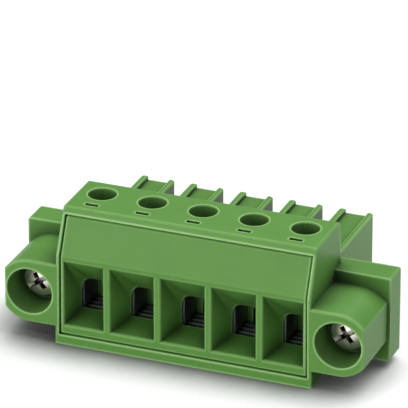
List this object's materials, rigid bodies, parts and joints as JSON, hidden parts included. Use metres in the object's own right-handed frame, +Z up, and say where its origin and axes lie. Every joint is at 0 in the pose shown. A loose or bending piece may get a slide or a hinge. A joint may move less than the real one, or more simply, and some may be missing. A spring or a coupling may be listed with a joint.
{
  "type": "pluggable terminal block",
  "caption": "Green screw terminal plug with a row of wire funnels, lifting clamp cages, plug towers behind and a captive screw in a flange at each end.",
  "frame": {"origin": "centre of the foot of the bounding box, midway between the flanges", "axes": "+X along the row of poles, +Y from the wire funnels to the plug towers, +Z up"},
  "size_m": [0.0546, 0.0292, 0.0203],
  "materials": {
    "green_polyamide": "satin moulded",
    "nickel_plated_steel": "nickel plated, worn bright",
    "zinc_plated_steel": "zinc plated",
    "cage_steel": "zinc plated, stamped",
    "tinned_copper_alloy": "matt tin plate",
    "spring_steel": "rolled stainless"
  },
  "bodies": {
    "block": {"housing": "green_polyamide", "wire_guide": "green_polyamide", "contact_1": "tinned_copper_alloy", "contact_spring_1": "spring_steel", "contact_2": "tinned_copper_alloy", "contact_spring_2": "spring_steel", "contact_3": "tinned_copper_alloy", "contact_spring_3": "spring_steel", "contact_4": "tinned_copper_alloy", "contact_spring_4": "spring_steel", "contact_5": "tinned_copper_alloy", "contact_spring_5": "spring_steel"},
    "screw_1": {"clamp_screw_1": "zinc_plated_steel"},
    "cage_1": {"clamp_cage_1": "cage_steel"},
    "screw_2": {"clamp_screw_2": "zinc_plated_steel"},
    "cage_2": {"clamp_cage_2": "cage_steel"},
    "screw_3": {"clamp_screw_3": "zinc_plated_steel"},
    "cage_3": {"clamp_cage_3": "cage_steel"},
    "screw_4": {"clamp_screw_4": "zinc_plated_steel"},
    "cage_4": {"clamp_cage_4": "cage_steel"},
    "screw_5": {"clamp_screw_5": "zinc_plated_steel"},
    "cage_5": {"clamp_cage_5": "cage_steel"},
    "flange_left": {"flange_screw_left": "nickel_plated_steel"},
    "flange_right": {"flange_screw_right": "nickel_plated_steel"}
  },
  "joints": [
    {"name": "clamp_screw_1_turn", "type": "hinge", "parent": "block", "child": "screw_1", "pos_m": [-0.01524, -0.00641, 0.01806], "axis": [0, 0, -1], "range_deg": [0, 3528]},
    {"name": "clamp_cage_1_lift", "type": "slide", "parent": "block", "child": "cage_1", "axis": [0, 0, 1], "range_m": [0, 0.0049]},
    {"name": "clamp_screw_2_turn", "type": "hinge", "parent": "block", "child": "screw_2", "pos_m": [-0.00762, -0.00641, 0.01806], "axis": [0, 0, -1], "range_deg": [0, 3528]},
    {"name": "clamp_cage_2_lift", "type": "slide", "parent": "block", "child": "cage_2", "axis": [0, 0, 1], "range_m": [0, 0.0049]},
    {"name": "clamp_screw_3_turn", "type": "hinge", "parent": "block", "child": "screw_3", "pos_m": [0, -0.00641, 0.01806], "axis": [0, 0, -1], "range_deg": [0, 3528]},
    {"name": "clamp_cage_3_lift", "type": "slide", "parent": "block", "child": "cage_3", "axis": [0, 0, 1], "range_m": [0, 0.0049]},
    {"name": "clamp_screw_4_turn", "type": "hinge", "parent": "block", "child": "screw_4", "pos_m": [0.00762, -0.00641, 0.01806], "axis": [0, 0, -1], "range_deg": [0, 3528]},
    {"name": "clamp_cage_4_lift", "type": "slide", "parent": "block", "child": "cage_4", "axis": [0, 0, 1], "range_m": [0, 0.0049]},
    {"name": "clamp_screw_5_turn", "type": "hinge", "parent": "block", "child": "screw_5", "pos_m": [0.01524, -0.00641, 0.01806], "axis": [0, 0, -1], "range_deg": [0, 3528]},
    {"name": "clamp_cage_5_lift", "type": "slide", "parent": "block", "child": "cage_5", "axis": [0, 0, 1], "range_m": [0, 0.0049]},
    {"name": "flange_screw_left_turn", "type": "hinge", "parent": "block", "child": "flange_left", "pos_m": [-0.02309, -0.01111, 0.0074], "axis": [0, 1, 0], "continuous": true},
    {"name": "flange_screw_right_turn", "type": "hinge", "parent": "block", "child": "flange_right", "pos_m": [0.02309, -0.01111, 0.0074], "axis": [0, 1, 0], "continuous": true}
  ],
  "couplings": [
    {"joint": "clamp_screw_1_turn", "follows": "clamp_cage_1_lift", "rad_per_m": 12566},
    {"joint": "clamp_screw_2_turn", "follows": "clamp_cage_2_lift", "rad_per_m": 12566},
    {"joint": "clamp_screw_3_turn", "follows": "clamp_cage_3_lift", "rad_per_m": 12566},
    {"joint": "clamp_screw_4_turn", "follows": "clamp_cage_4_lift", "rad_per_m": 12566},
    {"joint": "clamp_screw_5_turn", "follows": "clamp_cage_5_lift", "rad_per_m": 12566}
  ]
}
